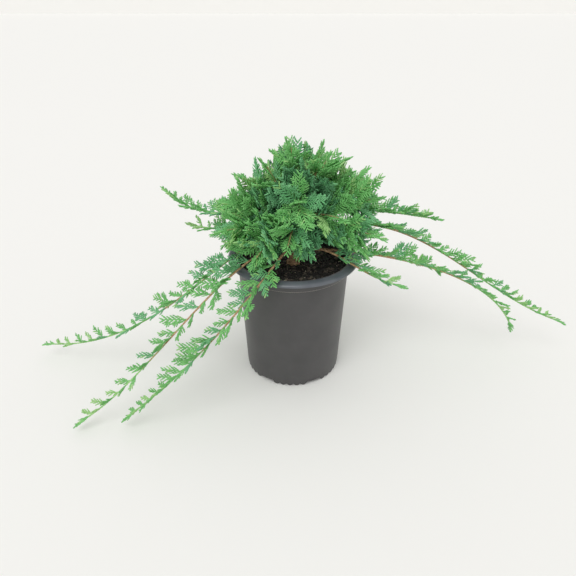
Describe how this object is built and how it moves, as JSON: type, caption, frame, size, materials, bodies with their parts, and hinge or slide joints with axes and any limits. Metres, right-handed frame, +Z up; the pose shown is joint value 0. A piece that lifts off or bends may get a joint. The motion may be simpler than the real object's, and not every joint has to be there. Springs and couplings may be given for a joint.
{
  "type": "potted rug juniper",
  "caption": "Low spreading juniper in a round nursery pot: a short trunk, bare boughs over the rim, long trailing leafy runners and a leafy dome.",
  "frame": {"origin": "the middle of the whole plant's footprint, on the ground that the pot stands on", "axes": "+Z up, +X along the longest spread of the runners to the right, +Y away from the picture's camera"},
  "size_m": [0.7296, 0.3992, 0.3094],
  "materials": {
    "pot": "satin black blow-moulded plastic",
    "potting_mix": "damp crumbly bark and peat",
    "bark": "thin flaking orange-brown bark",
    "foliage": "waxy blue-green scale leaves with yellow-green tips"
  },
  "bodies": {
    "root": {"pot": "pot", "soil": "potting_mix", "trunk": "bark", "bough_left": "bark", "bough_front_left": "bark", "bough_front": "bark", "bough_upper_left": "bark", "bough_far_left": "bark", "bough_right": "bark", "bough_low_right": "bark", "bough_short_right": "bark", "bough_high_right": "bark", "bough_back_right": "bark", "bough_back": "bark", "bough_back_left": "bark", "runner_left": "foliage", "runner_front_left": "foliage", "runner_front": "foliage", "runner_upper_left": "foliage", "runner_far_left": "foliage", "runner_right": "foliage", "runner_low_right": "foliage", "runner_short_right": "foliage", "runner_high_right": "foliage", "runner_back_right": "foliage", "runner_back": "foliage", "runner_back_left": "foliage", "dome_top": "foliage", "dome_top_right": "foliage", "dome_top_left": "foliage", "dome_high_right": "foliage", "dome_upright_right": "foliage", "dome_left": "foliage", "dome_low_left": "foliage", "dome_near_left": "foliage", "dome_front_left": "foliage", "dome_front": "foliage", "dome_front_high": "foliage", "dome_front_right": "foliage", "dome_near_right": "foliage", "dome_right": "foliage", "dome_back_right": "foliage", "dome_back": "foliage", "dome_back_left": "foliage"}
  },
  "joints": []
}
